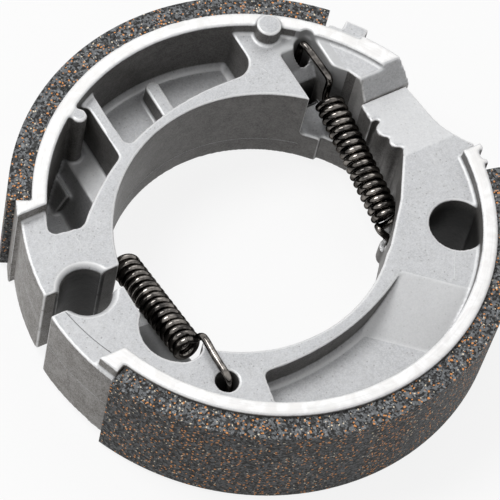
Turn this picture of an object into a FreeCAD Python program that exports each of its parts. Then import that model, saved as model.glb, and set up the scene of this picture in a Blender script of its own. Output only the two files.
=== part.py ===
import FreeCAD, Part
import os
from math import cos, pi, radians, sin
from FreeCAD import Vector as V

# Frame: millimetres, Z is the drum axis and points up, Z 0 is the lower face of both shoe tables.
# The anchor pin stands on the -X side. The rear shoe lies on the +Y side, the front shoe on the -Y side.
# Angles are about the drum axis, in degrees, counted from +X.

# Drum side
drum_d = 110.0
lining_thick = 5.0
table_thick = 3.3
shoe_width = 28.0
lining_inset = 1.0
lining_end_gap = 0.4
rear_lining = (44.5, 152.6)
front_lining = (204.0, 346.0)

# Webs, their inner flanges and the rounding of cast corners
web_drop = 3.0
web_base = 2.2
flange_w = 3.3
flange_arc_r = 60.0
corner_r = 1.6
floor_ease = 1.2
root = 0.5

# Inner outline of the rear shoe: its arc and the middle of the flange
rear_bore_r = 35.7
rear_bore_x = 0.4
rear_bore_y = -6.0
rear_flange_x = 7.4

# Inner outline of the front shoe: its arc, the flange's middle and the straight run beside the cam arm
front_bore_r = 35.1
front_bore_x = -6.3
front_bore_y = 4.85
front_flange_x = -11.7
front_run = [(19.0, -19.6), (20.5, -18.4), (28.5, -9.6), (36.0, 1.2), (34.4, 11.7), (35.1, 16.6)]
front_ledge_x = -27.5

# Anchor end
pin_d = 11.0
pin_x = -43.5
shoe_gap = 4.6
pin_bevel = 1.1
pad_depth = 8.0
rear_pad_lip = 2.2
front_pad_lip = 3.3
rear_table_end_y = 20.5
front_table_end_y = -16.5
rear_lug_lip = 3.3
front_lug_lip = 2.4
front_pad_wall_x = -36.0

# Cam end
cam_face_y = 16.8
cam_gap = 0.2
cam_face_lean = 3.9
cam_step_z = 21.5
land_drop = 1.2
channel_x = 23.9
channel_wall = [(32.1, 25.7), (34.6, 22.9), (36.1, 19.3)]
ledge_z = 11.0
ledge_end_y = 27.2
scoop_foot = (29.5, 17.0)
scoop_mid = (31.5, 19.6)
scoop_top_y = 34.6
sink_z = 4.0
shelf_end_x = 33.8
shelf_end_y = 12.0
shelf_relief = 0.9
shelf_relief_x = 27.2
arm_outer_x = 47.1
arm_notch_1 = (36.1, 5.6, 11.4)
arm_notch_2 = (36.2, 1.2, 5.8)
arm_rib_1 = (36.2, 8.0, 2.3)
arm_rib_2 = (36.1, 3.9, 1.6)
front_table_end = -6.1
toe_lip = 1.1
rear_nub = (34.4, 40.2, 4.0)
rear_nub_foot = (40.0, 43.6, 1.5)
front_nubs = [(351.2, 355.5, 1.3), (347.3, 348.6, 1.1)]

# Pockets of the rear shoe, from the anchor side to the cam side
rib_1_x = -20.0
rib_1_w = 2.6
rib_1_low_y = 27.0
rib_2_x = -2.9
rib_2_w = 3.3
rib_2_h = 5.0
rib_2_end_y = 42.3
pocket_end_x = 16.9
pocket_end_r = 4.5
shallow_floor_z = 12.5
deep_floor_z = 3.0
saddle_z = 11.2
gusset_z = 9.0
post_r = 1.7
post_deg = 124.0
post_drop = 0.3
peg_d = 5.6
peg_deg = 59.2
peg_rise = 1.0

# Pockets of the front shoe
front_pocket_depth = 7.0
front_ramp_run = 13.6
front_ramp_turn = 47.4
front_ramp_x = 19.1
front_ramp_y = -24.9
under_top_z = 12.5
under_rib = (-2.4, 0.2)
under_side_x = 20.0
web_hole_d = 12.5
web_hole_x = 36.5
web_hole_y = -20.5
dish_z = 13.5
dish_mouth_z = 9.8
dish_flat_y = -18.5
dish_end_y = -24.4

# Tension springs
wire_d = 1.6
coil_od = 6.8
wire_sides = 8
steps_per_turn = 10
cam_turns = 17.0
pivot_turns = 15.5
hook_hole_d = 4.2
front_hook_hole_d = 5.0
hook_hole_z = 14.0
front_hook_hole_z = 12.0
wire_clear = 0.3
coil_clear = 0.9
lug_r = 2.4
lug_z = 7.2
recess_z = 8.4

# Derived sizes
lining_or = drum_d / 2
table_r = lining_or - lining_thick
table_ir = table_r - table_thick
web_z = shoe_width - web_drop
land_z = shoe_width - land_drop
half_gap = shoe_gap / 2
front_cam_y = cam_face_y - cam_gap
rear_pad_r = table_r + rear_pad_lip
front_pad_r = table_r + front_pad_lip
front_pad_end = front_lining[0] - lining_end_gap
rear_flange_y = rear_bore_y + rear_bore_r + flange_w - flange_arc_r
front_flange_y = front_bore_y - front_bore_r - flange_w + flange_arc_r
front_floor_z = web_z - front_pocket_depth
coil_r = (coil_od - wire_d) / 2
below = -1.0
above = shoe_width + 4.0
far = 120.0


# Solid helpers

def polar(r, deg):
    return V(r * cos(radians(deg)), r * sin(radians(deg)), 0)


def cyl(x, y, r, z0, z1):
    return Part.makeCylinder(r, z1 - z0, V(x, y, z0))


def ring(r0, r1, z0, z1):
    return cyl(0, 0, r1, z0, z1).cut(cyl(0, 0, r0, z0 - 1, z1 + 1))


def box(x0, x1, y0, y1, z0, z1):
    return Part.makeBox(x1 - x0, y1 - y0, z1 - z0, V(x0, y0, z0))


def swept(corners, step):
    return Part.Face(Part.makePolygon(corners + corners[:1])).extrude(step)


def prism(points, z0, z1):
    return swept([V(x, y, z0) for x, y in points], V(0, 0, z1 - z0))


def side_prism(points, x0, x1):
    return swept([V(x0, y, z) for y, z in points], V(x1 - x0, 0, 0))


def front_prism(points, y0, y1):
    return swept([V(x, y0, z) for x, z in points], V(0, y1 - y0, 0))


def line(a, b):
    return Part.Edge(Part.LineSegment(V(*a), V(*b)))


def arc(a, m, b):
    return Part.Edge(Part.Arc(V(*a), V(*m), V(*b)))


def edge_prism(edges, step):
    return Part.Face(Part.Wire(edges)).extrude(step)


def wedge(a0, a1, z0, z1):
    step = (a1 - a0) / 4.0
    rays = [polar(far, a0 + step * k) for k in range(5)]
    return prism([(0, 0)] + [(p.x, p.y) for p in rays], z0, z1)


def sector(r0, r1, a0, a1, z0, z1):
    return ring(r0, r1, z0, z1).common(wedge(a0, a1, z0 - 1, z1 + 1))


def fuse(shapes):
    return shapes[0].fuse(shapes[1:]).removeSplitter()


def is_upright(edge):
    ends = [v.Point for v in edge.Vertexes]
    if len(ends) != 2:
        return False
    run = ends[1] - ends[0]
    return run.cross(V(0, 0, 1)).Length < 1e-6 and abs(run.z) > corner_r


def upright_edges(shape, x0, x1, y0, y1):
    upright = [e for e in shape.Edges if is_upright(e)]
    spots = [(e, e.Vertexes[0].Point) for e in upright]
    return [e for e, p in spots if x0 < p.x < x1 and y0 < p.y < y1]


def rounded_cutter(shape, r):
    return shape.makeFillet(r, upright_edges(shape, -far, far, -far, far))


def floor_eased(shape, z, w):
    low = [e for e in shape.Edges if all(abs(v.Point.z - z) < 1e-4 for v in e.Vertexes)]
    return shape.makeChamfer(w, low)


# Shared by both castings

def anchor_notch():
    pin_r = pin_d / 2
    bore = cyl(pin_x, 0, pin_r, below, above)
    bevel = Part.makeCone(pin_r, pin_r + pin_bevel, pin_bevel, V(pin_x, 0, web_z - pin_bevel))
    return bore.fuse([bevel, cyl(pin_x, 0, pin_r + pin_bevel, web_z, above)])


def cam_hook_point():
    return polar(table_ir - 1.7, 48.7)


def cam_coil_ends():
    return V(channel_x + 7.0, cam_face_y + 5.6, 17.6), V(channel_x + 4.8, cam_face_y - 25.1, 13.6)


def cam_tail_point():
    return V(channel_x + 4.7, cam_face_y - 28.0, 0)


def pivot_hook_point():
    return polar(table_ir - 4.8, 228.7)


def pivot_coil_x():
    return rear_bore_x - rear_bore_r + 6.9


# Rear shoe casting, open side up

def rear_pocket_room(z0):
    room = cyl(0, 0, table_ir, z0, above)
    return room.cut(cyl(rear_flange_x, rear_flange_y, flange_arc_r, z0 - 1, above + 1))


def rear_blank():
    inner = table_r - root
    web = cyl(0, 0, inner, web_base, web_z).common(box(-far, far, 0, far, below, above))
    beyond = box(-far, 0, -far, rear_table_end_y, below, above)
    table = sector(table_ir, table_r, 10, 170, 0, shoe_width).cut(beyond)
    lug_start = rear_lining[1] + lining_end_gap
    lug = sector(inner, table_r + rear_lug_lip, lug_start, 170, 0, shoe_width).cut(beyond)
    pad = sector(table_ir - pad_depth, rear_pad_r, 150, 180, web_base, web_z)
    pad = pad.common(box(-far, 0, 0, rear_table_end_y + root, below, above))
    toe = sector(inner, table_r + toe_lip, 10, rear_nub[0] + root, 0, shoe_width)
    nub = sector(inner, table_r + rear_nub[2], rear_nub[0], rear_nub[1], 0, land_z)
    foot = sector(inner, table_r + rear_nub_foot[2], rear_nub_foot[0], rear_nub_foot[1], 0, land_z)
    bore = cyl(rear_bore_x, rear_bore_y, rear_bore_r, below, above)
    return fuse([web, table, lug, pad, toe, nub, foot]).cut(bore)


def rear_land():
    outline = [(channel_wall[0][0], 38.0)] + channel_wall
    outline += [(channel_wall[2][0], 10.0), (60.0, 10.0), (60.0, 38.0)]
    return prism(outline, web_z - 1, land_z).common(cyl(0, 0, table_ir + root, 0, shoe_width))


def rear_end_cut():
    rise = (above - cam_step_z) / (shoe_width - cam_step_z)
    lean_y = cam_face_y + cam_face_lean * rise
    outline = [(-far, below), (cam_face_y, below), (cam_face_y, cam_step_z), (lean_y, above), (-far, above)]
    shelf = box(0, shelf_end_x, shelf_end_y, far, 0, ledge_z)
    return side_prism(outline, 0, far).cut(shelf)


def rear_deep_pocket():
    right = rib_1_x - rib_1_w / 2
    low = deep_floor_z - 1
    outline = [(right, far), (right, 0), (-30.0, 16.0), (-37.4, 13.9), (-60.0, 17.2), (-60.0, far)]
    room = rounded_cutter(rear_pocket_room(deep_floor_z).common(prism(outline, 0, above)), corner_r)
    saddle = [(right + 1, low), (right + 1, shallow_floor_z), (-27.0, saddle_z), (-32.0, low)]
    heel = [(-60.0, low), (-60.0, web_z), (-44.5, 18.0), (-41.5, low)]
    gusset = front_prism([(-33.5, low), (-30.0, gusset_z), (-26.5, low)], 30.0, 60.0)
    return room.cut([front_prism(saddle, 0, 60), front_prism(heel, 0, 60), gusset])


def rear_shallow_pocket():
    left = rib_1_x + rib_1_w / 2
    room = rear_pocket_room(shallow_floor_z).common(box(left, pocket_end_x, 20, 60, 0, above))
    room = room.makeFillet(pocket_end_r, upright_edges(room, 10, far, 0, 40))
    room = room.makeFillet(corner_r, upright_edges(room, -far, 10, 0, far))
    room = floor_eased(room, shallow_floor_z, floor_ease)
    half = rib_2_w / 2
    top = shallow_floor_z + rib_2_h
    rib = box(rib_2_x - half, rib_2_x + half, 20, rib_2_end_y, shallow_floor_z - 1, top)
    end = cyl(rib_2_x, rib_2_end_y, half, shallow_floor_z - 1, top)
    return room.cut(fuse([rib, end]))


def rear_rib_slope():
    outline = [(rib_1_low_y, web_z), (rib_1_low_y, above), (table_ir, above), (table_ir, web_z - 0.6)]
    band = side_prism(outline, rib_1_x - rib_1_w, rib_1_x + rib_1_w)
    return band.common(rear_pocket_room(0))


def rear_spring_channel():
    wall_x = channel_wall[0][0]
    mouth_x = channel_wall[2][0]
    outline = [(channel_x, 4.0), (channel_x, 34.0), (channel_x + 2.1, 36.0), (wall_x, 36.0)] + channel_wall
    cut = rounded_cutter(prism(outline + [(mouth_x, 4.0)], ledge_z, above), corner_r)
    low = ledge_z - 1
    top = web_z + root
    ramp = [(scoop_foot[0], low), scoop_foot, scoop_mid, (scoop_top_y, top), (37.5, top), (37.5, low)]
    sink = box(channel_x, wall_x, ledge_end_y, scoop_foot[0], sink_z, ledge_z + 1)
    return cut.cut(side_prism(ramp, channel_x - 4, mouth_x + 4)).fuse(sink)


def rear_shelf_relief():
    wide = cyl(rear_bore_x, rear_bore_y, rear_bore_r + shelf_relief, below, ledge_z + 1)
    return wide.common(box(shelf_relief_x, far, 0, far, below - 1, ledge_z + 2))


def rear_hook_recess():
    x = pivot_coil_x() - 8.0
    outline = [(x - 2.0, 17.4), (x - 2.0, 10.6), (x + 6.4, 4.0), (x + 14.4, 10.0), (x + 9.4, 19.0)]
    hole = cyl(x + 0.4, 14.4, hook_hole_d / 2, recess_z - 1, hook_hole_z)
    return prism(outline, below, recess_z).fuse(hole)


def rear_post():
    foot = polar(table_ir - post_r, post_deg)
    back = polar(table_ir + root, post_deg)
    top = shoe_width - post_drop
    pair = [cyl(p.x, p.y, post_r, deep_floor_z, top) for p in (foot, back)]
    return fuse(pair).common(cyl(0, 0, table_ir + root, 0, top))


def rear_peg():
    p = polar(table_ir - 0.3, peg_deg)
    return cyl(p.x, p.y, peg_d / 2, web_z - 1, shoe_width + peg_rise)


def rear_casting():
    body = rear_blank().fuse(rear_land())
    body = body.cut([rear_end_cut(), box(-far, 0, -far, half_gap, below, above)])
    hook = cam_hook_point()
    cuts = [rear_deep_pocket(), rear_shallow_pocket(), rear_rib_slope(), rear_spring_channel()]
    cuts += [rear_shelf_relief(), anchor_notch(), rear_hook_recess()]
    cuts += [cyl(hook.x, hook.y, hook_hole_d / 2, hook_hole_z, above)]
    return fuse([body.cut(cuts), rear_post(), rear_peg()])


# Front shoe casting, web side up

def front_bore():
    round_part = cyl(front_bore_x, front_bore_y, front_bore_r, below, above)
    round_part = round_part.common(box(front_ledge_x, front_run[1][0], -far, far, below - 1, above + 1))
    end_x = front_run[-1][0]
    side = prism(front_run + [(end_x, 30.0), (front_run[0][0], 30.0)], below, above)
    return round_part.fuse(side)


def front_arm_notches():
    spans = (arm_notch_1, arm_notch_2)
    return [box(front_run[1][0], x, y0, y1, below, above) for x, y0, y1 in spans]


def front_arm_ribs():
    return [cyl(x, y, r, web_base, web_z) for x, y, r in (arm_rib_1, arm_rib_2)]


def front_arm():
    root_x = front_run[1][0]
    low = (51.3, -4.6, web_base)
    top = (arm_outer_x, front_cam_y, web_base)
    waist = (arm_outer_x, 6.0, web_base)
    inner_low = (root_x, -12.0, web_base)
    inner_top = (root_x, front_cam_y, web_base)
    edges = [line(inner_top, top), line(top, waist), arc(waist, (48.4, 0.0, web_base), low)]
    edges += [line(low, inner_low), line(inner_low, inner_top)]
    return edge_prism(edges, V(0, 0, web_z - web_base))


def front_blank():
    inner = table_r - root
    web = cyl(0, 0, inner, web_base, web_z).common(wedge(180, 352, below, above))
    anchor_side = box(-far, 0, front_table_end_y, far, below, above)
    cam_side = box(0, far, front_table_end, far, below, above)
    table = sector(table_ir, table_r, 190, 356, 0, shoe_width).cut([anchor_side, cam_side])
    lug = sector(inner, table_r + front_lug_lip, 190, front_pad_end, 0, shoe_width).cut(anchor_side)
    pad = sector(table_ir - pad_depth, front_pad_r, 180, front_pad_end, web_base, web_z)
    nubs = [sector(inner, table_r + lip, a0, a1, 0, shoe_width).cut(cam_side) for a0, a1, lip in front_nubs]
    body = fuse([web, front_arm(), table, lug, pad] + nubs).cut([front_bore()] + front_arm_notches())
    return fuse([body] + front_arm_ribs())


def front_arm_slope():
    outline = [(-1.0, web_z), (front_cam_y + 1, cam_step_z - 0.1), (front_cam_y + 1, above), (-1.0, above)]
    table_zone = ring(table_ir, far, 0, above).common(box(0, far, -far, front_table_end, 0, above))
    return side_prism(outline, front_run[1][0], far).cut(table_zone)


def front_pocket_room():
    room = cyl(0, 0, table_ir, front_floor_z, above)
    room = room.cut(cyl(front_flange_x, front_flange_y, flange_arc_r, front_floor_z - 1, above + 1))
    outline = [(-19.4, -10.0), (-19.4, -31.0), (-22.9, -50.0), (60.0, -50.0), (60.0, -10.0)]
    room = room.common(prism(outline, 0, above))
    return room.makeFillet(corner_r, upright_edges(room, -far, 0, -far, 0))


def front_ramp():
    run = front_ramp_run
    top = web_z + front_pocket_depth
    low = front_floor_z - 1
    slope = [(-run, front_floor_z), (run, top), (60.0, top), (60.0, low), (-run, low)]
    ramp = front_prism(slope, -40.0, 40.0)
    ramp.rotate(V(0, 0, 0), V(0, 0, 1), front_ramp_turn)
    ramp.translate(V(front_ramp_x, front_ramp_y, 0))
    return ramp


def front_dish():
    wall = front_pad_wall_x
    z = dish_mouth_z - 1
    edge = front_ledge_x + root
    edges = [line((wall, 0, z), (wall, -10, z)), arc((wall, -10, z), (-38.5, -17.0, z), (-34.6, -23.0, z))]
    edges += [arc((-34.6, -23.0, z), (-31.6, -24.0, z), (-28.6, -22.9, z))]
    edges += [line((-28.6, -22.9, z), (edge, -20, z))]
    edges += [line((edge, -20, z), (edge, 0, z)), line((edge, 0, z), (wall, 0, z))]
    room = edge_prism(edges, V(0, 0, above - z))
    start = (-60, 0, dish_mouth_z)
    flat = (-60, dish_flat_y, dish_z)
    end = (-60, dish_end_y, web_z + 0.2)
    low_end = (-60, dish_end_y, z - 1)
    low_start = (-60, 0, z - 1)
    rise = arc(flat, (-60, dish_end_y + 1.8, dish_z + 3.0), end)
    profile = [line(start, flat), rise, line(end, low_end), line(low_end, low_start), line(low_start, start)]
    return room.cut(edge_prism(profile, V(60, 0, 0)))


def front_under_pockets():
    room = cyl(0, 0, table_ir - root, below, under_top_z)
    room = room.cut(cyl(front_flange_x, front_flange_y, flange_arc_r, below - 1, under_top_z + 1))
    top = under_top_z + 1
    left = prism([(-21.0, -60.0), (-18.0, -20.0), (under_rib[0], -20.0), (under_rib[0], -60.0)], -2, top)
    right = box(under_rib[1], under_side_x, -60.0, -20.0, -2, top)
    return [rounded_cutter(room.common(side), corner_r) for side in (left, right)]


def front_spring_room():
    top, low = cam_coil_ends()
    along = (low - top).normalize()
    room = Part.makeCylinder(coil_od / 2 + coil_clear, 22.0, low - along * 17.0, along)
    return room.common(box(20.0, front_run[3][0], -16.0, 6.0, below, web_z - 4.5))


def front_hook_lug():
    tip = cam_tail_point()
    tongue = cyl(tip.x, tip.y, lug_r, web_base, lug_z)
    outline = [(tip.x - 1.2, tip.y - 2.0), (34.0, -19.0), (34.0, -8.0), (tip.x + 1.4, tip.y + 1.6)]
    hole = cyl(web_hole_x, web_hole_y, web_hole_d / 2, below, above)
    return tongue.fuse(prism(outline, web_base, lug_z)).cut(hole)


def front_casting():
    hook = pivot_hook_point()
    tip = cam_tail_point()
    hole = cyl(web_hole_x, web_hole_y, web_hole_d / 2, below, above).common(cyl(0, 0, table_ir, below, above))
    pocket = floor_eased(front_pocket_room(), front_floor_z, floor_ease).cut(front_ramp())
    cuts = [box(-far, 0, -half_gap, far, below, above), front_arm_slope(), pocket, hole]
    cuts += [front_dish(), anchor_notch(), front_spring_room()] + front_under_pockets()
    cuts += [cyl(hook.x, hook.y, front_hook_hole_d / 2, front_hook_hole_z, above)]
    body = fuse([front_blank().cut(cuts), front_hook_lug()])
    tail_room = cyl(tip.x, tip.y, lug_r / 2, lug_z, lug_z + 5.0)
    return body.cut([cyl(tip.x, tip.y, wire_d / 2 + wire_clear, below, lug_z + 1.0), tail_room])


# Friction linings, bonded on the tables

def lining(span):
    return sector(table_r, lining_or, span[0], span[1], lining_inset, shoe_width - lining_inset)


# Tension springs: a wire of flat sides mitred from station to station

def transport(points, r, sides):
    first = (points[1] - points[0]).normalize()
    side = first.cross(V(0, 0, 1))
    if side.Length < 0.2:
        side = first.cross(V(1, 0, 0))
    side.normalize()
    up = side.cross(first)
    turn = [2 * pi * (k + 0.5) / sides for k in range(sides)]
    section = [points[0] + side * (r * cos(t)) + up * (r * sin(t)) for t in turn]
    sections = [section]
    for k in range(1, len(points)):
        along = (points[k] - points[k - 1]).normalize()
        normal = along
        if k + 1 < len(points):
            normal = along + (points[k + 1] - points[k]).normalize()
            normal.normalize()
        shifted = []
        for p in section:
            t = (points[k] - p).dot(normal) / along.dot(normal)
            shifted.append(p + along * t)
        section = shifted
        sections.append(section)
    return sections


def wire_solid(points):
    sections = transport(points, wire_d / 2, wire_sides)
    faces = [Part.Face(Part.makePolygon(sections[0] + sections[0][:1]))]
    faces.append(Part.Face(Part.makePolygon(sections[-1] + sections[-1][:1])))
    for low, high in zip(sections[:-1], sections[1:]):
        for k in range(wire_sides):
            n = (k + 1) % wire_sides
            faces.append(Part.Face(Part.makePolygon([low[k], low[n], high[n], high[k], low[k]])))
    shell = Part.Compound(faces)
    shell.sewShape()
    return Part.Solid(shell.Shells[0])


def coil_points(start, end, turns, phase):
    axis = end - start
    along = V(axis).normalize()
    side = V(0, 0, 1).cross(along).normalize()
    up = along.cross(side)
    count = int(turns * steps_per_turn)
    out = []
    for k in range(count + 1):
        t = k / count
        a = phase - 2 * pi * turns * t
        out.append(start + axis * t + side * (coil_r * cos(a)) + up * (coil_r * sin(a)))
    return out


def cam_spring():
    top, low = cam_coil_ends()
    hook = cam_hook_point()
    tip = cam_tail_point()
    head = [hook + V(0, 0.8, 17.6), hook + V(0, 0.8, 22.4), hook + V(0.1, 0.4, web_z)]
    head += [hook + V(0.3, -1.0, web_z + 0.5), top + V(0.2, 3.2, 6.6), top + V(0.4, 2.2, 5.9)]
    head += [top + V(0.4, 1.9, 4.6), top + V(0.4, 1.9, 0), top + V(0.3, 1.3, -2.0)]
    tail = [low + V(-2.4, -1.2, -0.6), tip + V(-0.1, 0.2, 9.8), tip + V(0, 0, 8.6)]
    tail += [tip + V(0, 0, lug_z - 4.0)]
    return wire_solid(head + coil_points(top, low, cam_turns, -pi / 2) + tail)


def pivot_spring():
    x = pivot_coil_x()
    low = V(x, 8.0, 11.5)
    top = V(x - 1.7, -19.4, 20.8)
    hook = pivot_hook_point()
    head = [hook + V(0, -1.0, 15.0), hook + V(0, -1.0, 22.3), hook + V(0, -0.6, web_z)]
    head += [hook + V(0, 0.8, web_z + 1.4), hook + V(-0.1, 5.6, web_z + 1.8), top + V(2.2, -1.6, 5.6)]
    head += [top + V(2.0, -0.5, 4.6), top + V(1.1, -0.2, 3.3)]
    tail = [V(x - 1.2, 10.8, 7.4), V(x - 3.2, 12.4, 5.4), V(x - 6.2, 13.9, 5.2), V(x - 7.8, 14.5, 6.4)]
    tail += [V(x - 8.0, 14.6, 12.0)]
    return wire_solid(head + coil_points(top, low, pivot_turns, pi / 2) + tail)


# Export, one file for each node

def export(name, shape):
    shape.exportStep(os.path.join("parts", name + ".step"))


os.makedirs("parts", exist_ok=True)
export("rear_casting", rear_casting())
export("front_casting", front_casting())
export("rear_lining", lining(rear_lining))
export("front_lining", lining(front_lining))
export("cam_spring", cam_spring())
export("pivot_spring", pivot_spring())
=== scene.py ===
import bpy
import bmesh
import numpy
from math import cos, pi, radians, sin
from mathutils import Matrix, Vector


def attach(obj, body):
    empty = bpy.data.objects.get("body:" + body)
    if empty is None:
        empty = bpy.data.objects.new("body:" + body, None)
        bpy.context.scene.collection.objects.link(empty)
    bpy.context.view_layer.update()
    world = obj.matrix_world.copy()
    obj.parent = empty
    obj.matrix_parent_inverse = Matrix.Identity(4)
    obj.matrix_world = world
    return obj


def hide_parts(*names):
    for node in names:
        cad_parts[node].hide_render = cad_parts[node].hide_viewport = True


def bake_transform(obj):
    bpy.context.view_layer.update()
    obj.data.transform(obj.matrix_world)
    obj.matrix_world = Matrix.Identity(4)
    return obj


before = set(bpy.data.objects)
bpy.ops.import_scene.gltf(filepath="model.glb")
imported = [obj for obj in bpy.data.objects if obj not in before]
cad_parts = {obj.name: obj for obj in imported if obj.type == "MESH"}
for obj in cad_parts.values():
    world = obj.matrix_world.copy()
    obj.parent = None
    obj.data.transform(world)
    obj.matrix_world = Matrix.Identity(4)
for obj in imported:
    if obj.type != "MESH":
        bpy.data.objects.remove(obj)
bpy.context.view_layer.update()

from types import SimpleNamespace


def grey(level, warmth=0.0):
    return (level * (1 + warmth), level, level * (1 - warmth), 1.0)


# Sizes and places are in millimetres and angles in degrees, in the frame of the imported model.
# The scene is in metres, and MM turns one into the other.
MM = 0.001

# The photograph's camera, in metres, found from landmarks of the object
CAMERA_PLACE = Vector((-0.22540, -0.23612, 0.53335))
CAMERA_RIGHT = Vector((0.85499, -0.49915, 0.14083))
CAMERA_DOWN = Vector((-0.36975, -0.77706, -0.50938))
CAMERA_AHEAD = Vector((0.36369, 0.38344, -0.84894))
FOCAL_PX = 2836.8
FRAME_PX = 500
SENSOR_MM = 36.0
CLIP_NEAR = 0.05
CLIP_FAR = 20.0

# Studio, in metres: lamps have a place, a diameter and a power
KEY_LAMP = ((-0.45, 0.5, 1.1), 0.6, 10.0)
BACK_LAMP = ((0.5, 0.55, 1.0), 0.8, 2.2)
FLOOR_HALF = 3.0
FLOOR_DROP = 0.05 * MM
FLOOR_LEVEL = 0.86
AMBIENT_LEVEL = 0.30
WHITE = grey(1.0)

# Spring wire
WIRE_D = 1.6
COIL_OD = 6.8
WIRE_SIDES = 18
TURN_STEPS = 48
BEND_STEPS = 10

# Cam spring: hook in the rear shoe, coil, hook in the front shoe's lug
CAM_HEAD = [(29.7, 34.6, 17.6), (29.7, 34.6, 22.4), (29.8, 34.2, 25.0), (30.0, 32.8, 25.5),
            (30.5, 29.4, 24.9), (31.1, 25.6, 24.0), (31.3, 24.6, 23.2), (31.3, 24.3, 22.0),
            (31.3, 24.3, 17.8), (31.2, 23.7, 15.7)]
CAM_COIL_ENDS = [(30.9, 22.4, 17.6), (28.7, -8.3, 13.6)]
CAM_TAIL = [(26.1, -9.3, 12.9), (27.5, -10.3, 11.0), (28.5, -11.0, 9.6), (28.6, -11.2, 8.4),
            (28.6, -11.2, 3.2)]
CAM_TURNS = 17.2
CAM_PHASE = -90.0

# Pivot spring: hook in the front shoe, coil, hook under the rear shoe
PIVOT_HEAD = [(-27.65, -32.5, 15.0), (-27.65, -32.5, 22.3), (-27.65, -32.1, 25.0),
              (-27.65, -30.7, 26.4), (-27.7, -25.9, 26.6), (-27.5, -21.8, 26.5),
              (-27.7, -20.4, 25.7), (-28.5, -19.75, 24.1)]
PIVOT_COIL_ENDS = [(-29.6, -19.65, 20.8), (-28.4, 8.0, 11.5)]
PIVOT_TAIL = [(-31.1, 10.4, 8.0), (-32.6, 12.4, 5.6), (-34.8, 13.9, 5.2), (-36.2, 14.5, 6.4),
              (-36.4, 14.6, 12.0)]
PIVOT_TURNS = 15.25
PIVOT_PHASE = 90.0

# Shoes
DRUM_AXIS = (0.0, 0.0)
ANCHOR_PIN = (-43.5, 0.0)
SHOE_WIDTH = 28.0
TABLE_INNER_R = 46.7
TABLE_TOP_DEPTH = 0.25
TABLE_EDGE_FADE = 0.3
PEG = (23.76, 39.86)
PEG_CLEAR_R = 2.9
REAR_BORE = (0.4, -6.0)

# Rounded castings: grid of the skin, softening, share of the faces that is kept
SKIN_STEP = 0.36
SOFTEN_FACTOR = 0.5
SOFTEN_PASSES = 5
KEPT_SHARE = 0.55
LINING_EDGE = 0.25
LINING_EDGE_STEPS = 2
SHARP_ANGLE = 40

# Places on the castings that are painted by themselves
PAD_REACH = (20.0, 30.0)
PAD_SIDE_R = (45.0, 47.0)
CAM_FACE_X = 34.2
CAM_FACE_Y = (16.4, 20.9)
NOTCH_SHADE_R = 6.3
NOTCH_BEVEL_R = (5.3, 7.9)
NOTCH_BEVEL_Z = (24.2, 25.0)
WEB_HOLE = (36.2, -20.1)
WEB_HOLE_SHADE_R = 7.4
SHADE_Z = (21.0, 26.0)
DISH = (-32.5, -14.0)
DISH_R = 7.5
DISH_Z = (23.0, 24.3)
SCOOP_X = (23.4, 32.6)
SCOOP_Y = (29.2, 36.6)
HOOK_SIDE_X = (30.6, 34.5)
HOOK_SIDE_Y = (23.0, 37.0)
SCOOP_Z = (15.5, 23.5)
SINK_X = (23.4, 31.9)
SINK_Y = (26.4, 30.0)
SINK_Z = (12.0, 18.0)

# Fine step on the front pad's top: a spiral that loses SEAM_DRIFT of radius on each radian
SEAM_R = (49.88, 50.08)
SEAM_ANGLES = (-178.0, -161.5)
SEAM_ZERO = 176.7
SEAM_DRIFT = 5.4
SEAM_Z = 24.4

# Raised mould marks: thickness, share of it that is sunk, gaps that a line may bridge
MARK_D = 0.24
MARK_SUNK = 0.3
MARK_SIDES = 6
MARK_GAPS = (0.05, 3.0)
RAY_Z = 40.0
RAY_R = 70
PARTING_Z = 14.0
UPPER_LINE_Z = 20.5
BORE_LINE_Z = 7.2
PAD_PIN = (-42.2, 10.9)
PAD_PIN_R = 2.9
WEB_PIN = (16.1, 31.0)
WEB_PIN_R = 2.6
POCKET_PIN = (-9.6, 35.4)
POCKET_PIN_R = 0.9
WEB_LINE = [(32.7, -25.7), (31.2, -27.4), (29.6, -30.0), (28.3, -31.8)]

# Colours of the castings
SKIN_LOW = (0.46, 0.467, 0.485, 1.0)
SKIN_HIGH = (0.53, 0.537, 0.553, 1.0)
SKIN_CLOUD = (0.58, 0.588, 0.60, 1.0)
SKIN_SAND = grey(0.30)
SKIN_SPARK = grey(0.76, -0.005)
SKIN_PIT = grey(0.2, 0.02)
# Upright faces: partly the mould's brown-grey film, partly painted shade
FILM_SHADE_LOW = grey(0.07, 0.08)
FILM_SHADE_HIGH = grey(0.13, 0.06)
FILM_SHADE_SAND = grey(0.05, 0.05)
FILM_SHADE_SPARK = grey(0.25, 0.03)
# Painted light: the lighter upright faces of the pads' outer sides and the cam face
SIDE_LOW = grey(0.13, 0.10)
SIDE_HIGH = grey(0.25, 0.05)
SIDE_SAND = grey(0.12, 0.06)
SIDE_SPARK = grey(0.52, 0.02)
CAM_FACE_GREY = grey(0.55, 0.005)
# Painted light on gentle slopes
SLOPE_GREY = grey(0.80, -0.005)
# Painted shade, nearly black, in the pin notch, the web hole and the sink under the cam spring's hook
HOLLOW_SHADE = grey(0.012)
# Painted shade in the dish under the pivot spring
DISH_SHADE = grey(0.07)
# Painted light on the scoop and side of the cam spring's hook
SCOOP_GREY = grey(0.50, -0.01)
SEAM_GREY = grey(0.05)
# Painted highlight on convex edges, partly worn bare metal; also the painted light on the notch bevel
BRIGHT_EDGE = grey(0.90)
# Inner corners are painted darker
CORNER_DARK = grey(0.07, 0.05)
TURNED_LOW = (0.82, 0.81, 0.80, 1.0)
TURNED_HIGH = grey(0.93, 0.002)
TURNED_MARK = grey(0.68)

# Colours of the linings and the springs
BINDER = grey(0.035)
COMPOUND = grey(0.17, -0.04)
FLAKE = grey(0.34, -0.04)
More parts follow.
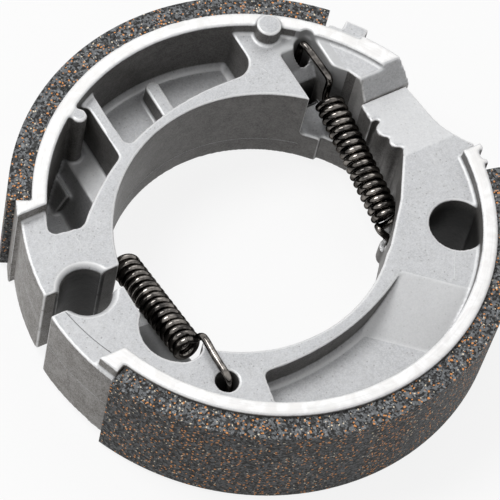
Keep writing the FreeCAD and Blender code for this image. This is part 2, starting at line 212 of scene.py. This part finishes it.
# Darker upright lining faces: partly the worn friction face, partly painted shade
RUBBED_AND_SHADED = (0.022, 0.020, 0.018, 1.0)
PORE = grey(0.003)
COPPER = (0.80, 0.34, 0.11, 1.0)
FIBRE = (0.90, 0.78, 0.60, 1.0)
WIRE_LOW = (0.045, 0.042, 0.04, 1.0)
WIRE_HIGH = (0.27, 0.25, 0.23, 1.0)
WIRE_TINT = grey(0.3)


# Shader node helpers

def new_material(name):
    material = bpy.data.materials.new(name)
    material.use_nodes = True
    tree = material.node_tree
    return material, tree, tree.nodes["Principled BSDF"]


def add(tree, kind, inputs=None, **settings):
    node = tree.nodes.new(kind)
    for key, value in settings.items():
        setattr(node, key, value)
    for key, value in (inputs or {}).items():
        if isinstance(value, bpy.types.NodeSocket):
            tree.links.new(value, node.inputs[key])
        else:
            node.inputs[key].default_value = value
    return node


def calc(tree, operation, a, b=0.0):
    return add(tree, "ShaderNodeMath", {0: a, 1: b}, operation=operation).outputs[0]


def above(tree, value, limit):
    return calc(tree, "GREATER_THAN", value, limit)


def below(tree, value, limit):
    return calc(tree, "LESS_THAN", value, limit)


def larger(tree, a, b):
    return calc(tree, "MAXIMUM", a, b)


def inverse(tree, value):
    return calc(tree, "SUBTRACT", 1.0, value)


def times(tree, *factors):
    result = factors[0]
    for factor in factors[1:]:
        result = calc(tree, "MULTIPLY", result, factor)
    return result


def within(tree, value, low, high):
    return times(tree, above(tree, value, low), below(tree, value, high))


def band(tree, value, span):
    """One where the value lies between two lengths in millimetres."""
    return within(tree, value, span[0] * MM, span[1] * MM)


def step(tree, value, low, high):
    """A smooth rise from zero to one."""
    node = add(tree, "ShaderNodeMapRange", {0: value, 1: low, 2: high}, interpolation_type="SMOOTHSTEP")
    return node.outputs[0]


def rise(tree, value, span):
    """A smooth rise from zero to one between two lengths in millimetres."""
    return step(tree, value, span[0] * MM, span[1] * MM)


def fall(tree, value, span):
    """A smooth fall from one to zero between two lengths in millimetres."""
    return inverse(tree, rise(tree, value, span))


def mix_color(tree, factor, a, b, blend="MIX"):
    node = add(tree, "ShaderNodeMix", {0: factor, 6: a, 7: b}, data_type="RGBA", blend_type=blend)
    return node.outputs[2]


def coat(tree, under, color, *masks):
    """A colour laid over another one as far as the product of the masks says."""
    return mix_color(tree, times(tree, *masks), under, color)


def noise(tree, vector, scale, detail=3.0, roughness=0.55, distortion=0.0):
    inputs = {"Vector": vector, "Scale": scale, "Detail": detail}
    inputs.update({"Roughness": roughness, "Distortion": distortion})
    return add(tree, "ShaderNodeTexNoise", inputs).outputs[0]


def cells(tree, vector, scale):
    return add(tree, "ShaderNodeTexVoronoi", {"Vector": vector, "Scale": scale})


def bump(tree, height, strength, distance, normal=None):
    inputs = {"Height": height, "Strength": strength, "Distance": distance * MM}
    if normal is not None:
        inputs["Normal"] = normal
    return add(tree, "ShaderNodeBump", inputs).outputs[0]


def split(tree, vector):
    return add(tree, "ShaderNodeSeparateXYZ", {0: vector}).outputs


def near_point(tree, place, spot):
    """Distance from the upright line through a point of the drawing."""
    flat = add(tree, "ShaderNodeVectorMath", {0: place, 1: (1.0, 1.0, 0.0)}, operation="MULTIPLY")
    ends = {0: flat.outputs[0], 1: (spot[0] * MM, spot[1] * MM, 0.0)}
    return add(tree, "ShaderNodeVectorMath", ends, operation="DISTANCE").outputs["Value"]


# Cast aluminium

def casting_fields(tree):
    """What the casting's paint goes by: place, slope, how far the softening moved each point, and noise
    from clouds down to specks.
    """
    coordinates = add(tree, "ShaderNodeTexCoord").outputs
    place = coordinates["Object"]
    x, y, height = split(tree, place)[:3]
    on = SimpleNamespace(place=place, x=x, y=y, height=height)
    on.up = split(tree, coordinates["Normal"])[2]
    on.upright = inverse(tree, step(tree, calc(tree, "ABSOLUTE", on.up), 0.22, 0.6))
    on.radius = near_point(tree, place, DRUM_AXIS)
    on.turn = calc(tree, "ARCTAN2", y, x)
    on.from_anchor = near_point(tree, place, ANCHOR_PIN)
    on.wear = add(tree, "ShaderNodeAttribute", attribute_name="wear").outputs["Fac"]
    on.mottle = noise(tree, place, 90.0, 5.0, 0.6)
    on.cloud = noise(tree, place, 340.0, 4.0, 0.62)
    on.grain = noise(tree, place, 1300.0, 3.0, 0.7)
    on.sand = step(tree, on.grain, 0.36, 0.64)
    on.spark = step(tree, noise(tree, place, 2600.0, 2.0, 0.75), 0.36, 0.64)
    on.pits = cells(tree, place, 800.0).outputs["Distance"]
    return on


def clean_skin(tree, on):
    """Faces that look up are clean, light grey metal."""
    skin = mix_color(tree, step(tree, on.mottle, 0.35, 0.68), SKIN_LOW, SKIN_HIGH)
    skin = coat(tree, skin, SKIN_CLOUD, step(tree, on.cloud, 0.42, 0.72), 0.4)
    skin = coat(tree, skin, SKIN_SAND, on.sand, 0.34)
    skin = coat(tree, skin, SKIN_SPARK, on.spark, 0.42)
    return coat(tree, skin, SKIN_PIT, inverse(tree, step(tree, on.pits, 0.06, 0.2)), 0.55)


def film_and_shade(tree, on, skin):
    """Upright faces are painted a dark brown-grey: partly the film of the mould, partly painted shade.
    """
    film = mix_color(tree, step(tree, on.cloud, 0.35, 0.7), FILM_SHADE_LOW, FILM_SHADE_HIGH)
    film = coat(tree, film, FILM_SHADE_SAND, on.sand, 0.45)
    film = coat(tree, film, FILM_SHADE_SPARK, on.spark, 0.4)
    return coat(tree, skin, film, on.upright, 0.93)


def lit_sides(tree, on, skin):
    """The outer sides of the pads and the cam face are painted lighter than the other upright faces:
    painted light on sides that the lamp reaches.
    """
    side = mix_color(tree, step(tree, on.cloud, 0.38, 0.66), SIDE_LOW, SIDE_HIGH)
    side = coat(tree, side, SIDE_SAND, on.sand, 0.35)
    side = coat(tree, side, SIDE_SPARK, on.spark, 0.4)
    pads = times(tree, fall(tree, on.from_anchor, PAD_REACH), rise(tree, on.radius, PAD_SIDE_R))
    cam_face = times(tree, above(tree, on.x, CAM_FACE_X * MM), band(tree, on.y, CAM_FACE_Y))
    skin = coat(tree, skin, side, on.upright, larger(tree, pads, cam_face), 0.92)
    return coat(tree, skin, CAM_FACE_GREY, on.upright, cam_face, 0.45)


def gentle_slopes(tree, on, skin):
    """Gentle slopes are painted a little brighter than level faces: painted light where they catch the
    lamp.
    """
    level = step(tree, on.up, 0.975, 0.995)
    return coat(tree, skin, SLOPE_GREY, step(tree, on.up, 0.6, 0.8), inverse(tree, level), 0.55)


def painted_shade(tree, on, skin):
    """Painted shade: the pin notch and the web hole are nearly black in their depths, and the dish
    beside the pivot spring is dark under the spring.
    """
    notch = below(tree, on.from_anchor, NOTCH_SHADE_R * MM)
    hole = below(tree, near_point(tree, on.place, WEB_HOLE), WEB_HOLE_SHADE_R * MM)
    depth = fall(tree, on.height, SHADE_Z)
    skin = coat(tree, skin, HOLLOW_SHADE, on.upright, larger(tree, notch, hole), depth, 0.92)
    dish = below(tree, near_point(tree, on.place, DISH), DISH_R * MM)
    return coat(tree, skin, DISH_SHADE, dish, fall(tree, on.height, DISH_Z), 0.6)


def hook_scoop(tree, on, skin):
    """Painted light and shade round the cam spring's hook: the scoop and the hook's side are painted a
    lighter grey where light falls, and the sink below it is painted black as shade.
    """
    scoop = times(tree, band(tree, on.x, SCOOP_X), band(tree, on.y, SCOOP_Y))
    side = times(tree, band(tree, on.x, HOOK_SIDE_X), band(tree, on.y, HOOK_SIDE_Y))
    skin = coat(tree, skin, SCOOP_GREY, larger(tree, scoop, side), rise(tree, on.height, SCOOP_Z), 0.75)
    sink = times(tree, band(tree, on.x, SINK_X), band(tree, on.y, SINK_Y))
    return coat(tree, skin, HOLLOW_SHADE, sink, fall(tree, on.height, SINK_Z), 0.9)


def pad_seam(tree, on, skin):
    """A fine dark step runs round the front pad's top."""
    drift = times(tree, calc(tree, "ADD", on.turn, radians(SEAM_ZERO)), SEAM_DRIFT * MM)
    ring = band(tree, calc(tree, "ADD", on.radius, drift), SEAM_R)
    reach = within(tree, on.turn, radians(SEAM_ANGLES[0]), radians(SEAM_ANGLES[1]))
    return coat(tree, skin, SEAM_GREY, ring, reach, above(tree, on.height, SEAM_Z * MM), 0.75)


def bright_edges_dark_corners(tree, on, skin):
    """Convex edges are painted bright, partly worn bare metal and partly painted highlight; inner
    corners are painted darker.
    """
    patchy = step(tree, noise(tree, on.place, 420.0, 3.0), 0.22, 0.5)
    skin = coat(tree, skin, BRIGHT_EDGE, step(tree, on.wear, 0.018, 0.08), patchy, 0.85)
    return coat(tree, skin, CORNER_DARK, step(tree, times(tree, on.wear, -1.0), 0.10, 0.24), 0.35)


def notch_bevel(tree, on, skin):
    """The bevel round the rear shoe's half of the pin notch is painted bright: painted light on a lit
    ring.
    """
    ring = times(tree, band(tree, on.from_anchor, NOTCH_BEVEL_R), rise(tree, on.height, NOTCH_BEVEL_Z))
    rear = above(tree, on.y, 0.0)
    return coat(tree, skin, BRIGHT_EDGE, ring, within(tree, on.up, 0.35, 0.96), rear, 0.8)


def turned_tables(tree, on, skin):
    """The tables' upper faces are turned bright, with fine marks round the drum axis."""
    top = above(tree, on.height, (SHOE_WIDTH - TABLE_TOP_DEPTH) * MM)
    outside = rise(tree, on.radius, (TABLE_INNER_R - TABLE_EDGE_FADE, TABLE_INNER_R))
    beside_peg = above(tree, near_point(tree, on.place, PEG), PEG_CLEAR_R * MM)
    round_axis = {0: times(tree, on.turn, 3.0), 1: times(tree, on.radius, 2600.0)}
    lathe = add(tree, "ShaderNodeCombineXYZ", round_axis).outputs[0]
    marks = noise(tree, lathe, 1.0, 3.0, 0.6)
    smear = noise(tree, on.place, 210.0, 4.0, 0.62, 1.5)
    face = mix_color(tree, step(tree, smear, 0.35, 0.7), TURNED_LOW, TURNED_HIGH)
    face = coat(tree, face, TURNED_MARK, step(tree, marks, 0.42, 0.72), 0.35)
    return coat(tree, skin, face, top, step(tree, on.up, 0.90, 0.97), outside, beside_peg)


def cast_aluminium():
    material, tree, shader = new_material("cast_aluminium")
    on = casting_fields(tree)
    skin = clean_skin(tree, on)
    for layer in (film_and_shade, lit_sides, gentle_slopes, painted_shade, hook_scoop, pad_seam,
                  bright_edges_dark_corners, notch_bevel, turned_tables):
        skin = layer(tree, on, skin)
    tree.links.new(skin, shader.inputs["Base Color"])
    rough = calc(tree, "ADD", times(tree, on.mottle, 0.25), 0.34)
    tree.links.new(rough, shader.inputs["Roughness"])
    shader.inputs["Metallic"].default_value = 0.28
    shader.inputs["Specular IOR Level"].default_value = 0.2
    lumps = bump(tree, on.cloud, 0.25, 0.22)
    sand = bump(tree, on.grain, 0.45, 0.10, lumps)
    tree.links.new(bump(tree, on.pits, 0.2, 0.08, sand), shader.inputs["Normal"])
    return material


# Friction lining

def ground_compound(tree, place, up, grains, pores):
    """Dark binder with grey grains and open pores, darker on upright faces: partly the worn friction
    face, partly painted shade.
    """
    base = noise(tree, place, 1200.0, 2.0, 0.6)
    body = mix_color(tree, step(tree, base, 0.42, 0.56), BINDER, COMPOUND)
    pick = split(tree, grains.outputs["Color"])[0]
    core = below(tree, grains.outputs["Distance"], 0.5)
    body = coat(tree, body, FLAKE, above(tree, pick, 0.72), core, 0.7)
    body = coat(tree, body, RUBBED_AND_SHADED, inverse(tree, step(tree, up, 0.3, 0.8)), 0.45)
    return coat(tree, body, PORE, pores, 0.97)


def chips_and_fibres(tree, shaken, body):
    """Copper chips and pale fibres."""
    chips = cells(tree, shaken, 1450.0)
    draw = split(tree, chips.outputs["Color"])[1]
    near = chips.outputs["Distance"]
    body = coat(tree, body, COPPER, above(tree, draw, 0.66), below(tree, near, 0.33))
    return coat(tree, body, FIBRE, below(tree, draw, 0.15), below(tree, near, 0.27))


def friction_lining():
    material, tree, shader = new_material("friction_lining")
    coordinates = add(tree, "ShaderNodeTexCoord").outputs
    place = coordinates["Object"]
    up = calc(tree, "ABSOLUTE", split(tree, coordinates["Normal"])[2])
    warp = add(tree, "ShaderNodeTexNoise", {"Vector": place, "Scale": 1300.0, "Detail": 2.0})
    shaken = mix_color(tree, 0.7 * MM, place, warp.outputs["Color"], "ADD")
    grains = cells(tree, shaken, 1900.0)
    pores = step(tree, noise(tree, place, 1450.0, 1.0, 0.5), 0.55, 0.58)
    body = ground_compound(tree, place, up, grains, pores)
    tree.links.new(chips_and_fibres(tree, shaken, body), shader.inputs["Base Color"])
    shader.inputs["Roughness"].default_value = 0.7
    shader.inputs["Specular IOR Level"].default_value = 0.4
    lumps = bump(tree, grains.outputs["Distance"], 0.4, 0.12)
    holes = bump(tree, inverse(tree, pores), 0.8, 0.25, lumps)
    tree.links.new(holes, shader.inputs["Normal"])
    return material


# Spring steel

def spring_steel():
    material, tree, shader = new_material("spring_steel")
    place = add(tree, "ShaderNodeTexCoord").outputs["Object"]
    film = noise(tree, place, 420.0, 4.0, 0.6)
    color = mix_color(tree, step(tree, film, 0.35, 0.7), WIRE_LOW, WIRE_HIGH)
    tree.links.new(color, shader.inputs["Base Color"])
    shader.inputs["Metallic"].default_value = 1.0
    shader.inputs["Specular Tint"].default_value = WIRE_TINT
    tree.links.new(calc(tree, "ADD", times(tree, film, 0.10), 0.07), shader.inputs["Roughness"])
    draw_marks = bump(tree, noise(tree, place, 1400.0, 2.0), 0.08, 0.03)
    tree.links.new(draw_marks, shader.inputs["Normal"])
    return material


# Meshes and objects

def new_object(name, data):
    piece = bpy.data.objects.new(name, data)
    bpy.context.scene.collection.objects.link(piece)
    return piece


def paint(mesh, material):
    mesh.materials.clear()
    mesh.materials.append(material)


def settled_mesh(piece):
    """The mesh that a piece has with its modifiers."""
    graph = bpy.context.evaluated_depsgraph_get()
    graph.update()
    return bpy.data.meshes.new_from_object(piece.evaluated_get(graph))


def vectors_of(mesh, field):
    values = numpy.empty(len(mesh.vertices) * 3, dtype=numpy.float32)
    mesh.vertices.foreach_get(field, values)
    return values.reshape(-1, 3)


def joined(name, meshes):
    whole = bmesh.new()
    for mesh in meshes:
        whole.from_mesh(mesh)
    mesh = bpy.data.meshes.new(name)
    whole.to_mesh(mesh)
    whole.free()
    return mesh


def round_sides(mesh):
    """The four-sided faces of a tube are shaded round, its ends stay flat."""
    for polygon in mesh.polygons:
        polygon.use_smooth = len(polygon.vertices) == 4


def tube_rings(points, radius, sides):
    """Rings square to a line, each turned only as far as the line bends."""
    last = len(points) - 1
    ways = [(points[min(k + 1, last)] - points[max(k - 1, 0)]).normalized() for k in range(last + 1)]
    side = ways[0].orthogonal().normalized()
    corners = []
    for k, point in enumerate(points):
        if k:
            side = ways[k - 1].rotation_difference(ways[k]) @ side
            side = (side - ways[k] * side.dot(ways[k])).normalized()
        across = ways[k].cross(side)
        for s in range(sides):
            a = 2 * pi * s / sides
            corners.append(tuple(point + (side * cos(a) + across * sin(a)) * radius))
    return corners


def tube_faces(rings, sides):
    faces = []
    for k in range(rings - 1):
        here = k * sides
        there = here + sides
        for s in range(sides):
            n = (s + 1) % sides
            faces.append((here + s, here + n, there + n, there + s))
    faces.append(tuple(reversed(range(sides))))
    faces.append(tuple((rings - 1) * sides + s for s in range(sides)))
    return faces


def tube_mesh(name, points, diameter, sides):
    mesh = bpy.data.meshes.new(name)
    mesh.from_pydata(tube_rings(points, diameter / 2, sides), [], tube_faces(len(points), sides))
    mesh.update()
    round_sides(mesh)
    return mesh


# Springs

def coil(start, end, turns, phase):
    axis = end - start
    along = axis.normalized()
    side = Vector((0, 0, 1)).cross(along).normalized()
    up = along.cross(side)
    radius = (COIL_OD - WIRE_D) / 2 * MM
    count = int(turns * TURN_STEPS)
    line = []
    for k in range(count + 1):
        t = k / count
        a = radians(phase) - 2 * pi * turns * t
        line.append(start + axis * t + side * (radius * cos(a)) + up * (radius * sin(a)))
    return line


def smooth(points, steps):
    """A curve through all points."""
    line = []
    last = len(points) - 1
    for k in range(last):
        p0, p1 = points[max(k - 1, 0)], points[k]
        p2, p3 = points[k + 1], points[min(k + 2, last)]
        for n in range(steps):
            t = n / steps
            a = p1 * 2
            b = (p2 - p0) * t
            c = (p0 * 2 - p1 * 5 + p2 * 4 - p3) * (t * t)
            d = (p1 * 3 - p0 - p2 * 3 + p3) * (t * t * t)
            line.append((a + b + c + d) * 0.5)
    line.append(points[-1])
    return line


def mm_points(points):
    return [Vector(p) * MM for p in points]


def wire_line(head, body, tail):
    lead_in = smooth(mm_points(head) + body[:1], BEND_STEPS)[:-1]
    lead_out = smooth(body[-1:] + mm_points(tail), BEND_STEPS)[1:]
    return lead_in + body + lead_out


def spring(node, line, material):
    mesh = tube_mesh(node + "_wire", line, WIRE_D * MM, WIRE_SIDES)
    paint(mesh, material)
    piece = new_object(node + "_wire", mesh)
    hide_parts(node)
    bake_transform(piece)


def cam_spring(material):
    body = coil(*mm_points(CAM_COIL_ENDS), CAM_TURNS, CAM_PHASE)
    spring("cam_spring", wire_line(CAM_HEAD, body, CAM_TAIL), material)


def pivot_spring(material):
    body = coil(*mm_points(PIVOT_COIL_ENDS), PIVOT_TURNS, PIVOT_PHASE)
    spring("pivot_spring", wire_line(PIVOT_HEAD, body, PIVOT_TAIL), material)


# Mould marks: rays that find the places on a casting where a mark lies

def fan(centre, z, first, last, count):
    """Level rays out from a centre, at equal angles."""
    rays = []
    for k in range(count + 1):
        a = radians(first + (last - first) * k / count)
        rays.append((Vector((centre[0], centre[1], z)) * MM, Vector((cos(a), sin(a), 0))))
    return rays


def inward(z, first, last, count):
    """Level rays from outside the drum towards its axis."""
    height = Vector((0, 0, z)) * MM
    outward = [way for _, way in fan(DRUM_AXIS, z, first, last, count)]
    return [(way * RAY_R * MM + height, -way) for way in outward]


def downward(x, y):
    return Vector((x, y, RAY_Z)) * MM, Vector((0, 0, -1))


def down_circle(centre, radius, first=0, last=360, count=32):
    rays = []
    for k in range(count + 1):
        a = radians(first + (last - first) * k / count)
        rays.append(downward(centre[0] + radius * cos(a), centre[1] + radius * sin(a)))
    return rays


def down_path(points, count=12):
    rays = []
    for (x0, y0), (x1, y1) in zip(points, points[1:]):
        for k in range(count):
            t = k / count
            rays.append(downward(x0 + (x1 - x0) * t, y0 + (y1 - y0) * t))
    return rays


def rear_marks():
    bore_line = fan(REAR_BORE, BORE_LINE_Z, 49, 158, 90)
    pad_lines = [inward(PARTING_Z, 160.0, 176.5, 40), inward(UPPER_LINE_Z, 161.0, 169.0, 20)]
    pins = [down_circle(PAD_PIN, PAD_PIN_R, -60, 250), down_circle(WEB_PIN, WEB_PIN_R)]
    pins.append(down_circle(POCKET_PIN, POCKET_PIN_R))
    return [bore_line] + pins + pad_lines


def front_marks():
    return [inward(PARTING_Z, 183.5, 204.0, 50), down_path(WEB_LINE)]


def line_on(piece, rays):
    """Points just under the surface, one where each ray meets it and goes on from the last."""
    nearest, farthest = MARK_GAPS
    line = []
    for origin, way in rays:
        hit, place, normal, _ = piece.ray_cast(origin, way)
        if hit and (not line or nearest * MM < (place - line[-1]).length < farthest * MM):
            line.append(place - normal * MARK_SUNK * (MARK_D * MM))
    return line


def mould_marks(node, body, piece, marks, material):
    """Fine raised lines and rings on the casting's surface."""
    name = node + "_mould_marks"
    lines = [line_on(piece, rays) for rays in marks]
    strips = [tube_mesh(name, line, MARK_D * MM, MARK_SIDES) for line in lines if len(line) > 3]
    mesh = joined(name, strips)
    round_sides(mesh)
    paint(mesh, material)
    raised = new_object(name, mesh)
    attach(raised, body)


# Castings and linings

def skinned(piece):
    """An even skin over the casting, softened, with how far each point moved outward stored on it: high
    on edges, low in inner corners.
    """
    skin = piece.modifiers.new("skin", "REMESH")
    skin.mode = "VOXEL"
    skin.voxel_size = SKIN_STEP * MM
    sharp = settled_mesh(piece)
    soften = piece.modifiers.new("soften", "SMOOTH")
    soften.factor = SOFTEN_FACTOR
    soften.iterations = SOFTEN_PASSES
    soft = settled_mesh(piece)
    moved = vectors_of(sharp, "co") - vectors_of(soft, "co")
    outward = (moved * vectors_of(soft, "normal")).sum(axis=1) / MM
    wear = soft.attributes.new("wear", "FLOAT", "POINT")
    wear.data.foreach_set("value", outward.astype(numpy.float32))
    for polygon in soft.polygons:
        polygon.use_smooth = True
    piece.modifiers.clear()
    return soft


def thinned(piece):
    thin = piece.modifiers.new("thin", "DECIMATE")
    thin.ratio = KEPT_SHARE
    mesh = settled_mesh(piece)
    piece.modifiers.clear()
    return mesh


def casting(node, body, material, marks):
    """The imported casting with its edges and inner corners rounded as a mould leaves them."""
    piece = new_object(node + "_moulded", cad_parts[node].data.copy())
    piece.data = skinned(piece)
    paint(piece.data, material)
    piece.data = thinned(piece)
    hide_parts(node)
    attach(piece, body)
    bpy.context.view_layer.update()
    mould_marks(node, body, piece, marks, material)


def lining(node, material):
    """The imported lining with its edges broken."""
    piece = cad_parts[node]
    paint(piece.data, material)
    edges = piece.modifiers.new("soft_edges", "BEVEL")
    edges.width = LINING_EDGE * MM
    edges.segments = LINING_EDGE_STEPS
    edges.limit_method = "ANGLE"
    edges.angle_limit = radians(SHARP_ANGLE)
    edges.use_clamp_overlap = True
    edges.harden_normals = True


# Studio

def backdrop_share(tree):
    """One for rays that show the backdrop, straight, in a reflection or through glass."""
    seen = add(tree, "ShaderNodeLightPath").outputs
    direct = larger(tree, seen["Is Camera Ray"], seen["Is Glossy Ray"])
    return larger(tree, direct, seen["Is Transmission Ray"])


def floor_material():
    material, tree, shader = new_material("floor")
    shader.inputs["Base Color"].default_value = grey(FLOOR_LEVEL)
    shader.inputs["Roughness"].default_value = 0.95
    glow = add(tree, "ShaderNodeEmission", {"Color": WHITE, "Strength": 1.0}).outputs[0]
    share = times(tree, backdrop_share(tree), FLOOR_LEVEL)
    mixed = add(tree, "ShaderNodeMixShader", {0: share, 1: shader.outputs[0], 2: glow}).outputs[0]
    tree.links.new(mixed, tree.nodes["Material Output"].inputs["Surface"])
    return material


def make_floor():
    half = FLOOR_HALF
    mesh = bpy.data.meshes.new("floor")
    corners = [(-half, -half, 0), (half, -half, 0), (half, half, 0), (-half, half, 0)]
    mesh.from_pydata(corners, [], [(0, 1, 2, 3)])
    paint(mesh, floor_material())
    floor = new_object("floor", mesh)
    floor.location = (0, 0, -FLOOR_DROP)


def make_world():
    world = bpy.data.worlds.new("studio")
    world.use_nodes = True
    bpy.context.scene.world = world
    tree = world.node_tree
    lit = add(tree, "ShaderNodeBackground", {"Color": WHITE, "Strength": AMBIENT_LEVEL}).outputs[0]
    shown = add(tree, "ShaderNodeBackground", {"Color": WHITE, "Strength": 1.0}).outputs[0]
    mixed = add(tree, "ShaderNodeMixShader", {0: backdrop_share(tree), 1: lit, 2: shown}).outputs[0]
    tree.links.new(mixed, tree.nodes["World Output"].inputs["Surface"])


def make_lamp(name, place, size, power):
    data = bpy.data.lights.new(name, "AREA")
    data.shape = "DISK"
    data.size = size
    data.energy = power
    lamp = new_object(name, data)
    lamp.location = place
    lamp.rotation_mode = "QUATERNION"
    lamp.rotation_quaternion = Vector(place).to_track_quat("Z", "Y")


def make_camera():
    data = bpy.data.cameras.new("camera")
    data.sensor_width = SENSOR_MM
    data.lens = FOCAL_PX / FRAME_PX * SENSOR_MM
    data.clip_start = CLIP_NEAR
    data.clip_end = CLIP_FAR
    camera = new_object("camera", data)
    axes = Matrix((CAMERA_RIGHT, -CAMERA_DOWN, -CAMERA_AHEAD)).transposed()
    camera.matrix_world = Matrix.Translation(CAMERA_PLACE) @ axes.to_4x4()
    bpy.context.scene.camera = camera


metal = cast_aluminium()
friction = friction_lining()
steel = spring_steel()
casting("rear_casting", "rear_shoe", metal, rear_marks())
casting("front_casting", "front_shoe", metal, front_marks())
lining("rear_lining", friction)
lining("front_lining", friction)
cam_spring(steel)
pivot_spring(steel)

make_floor()
make_world()
make_lamp("key", *KEY_LAMP)
make_lamp("back", *BACK_LAMP)
make_camera()

bpy.context.scene.view_settings.view_transform = "Standard"
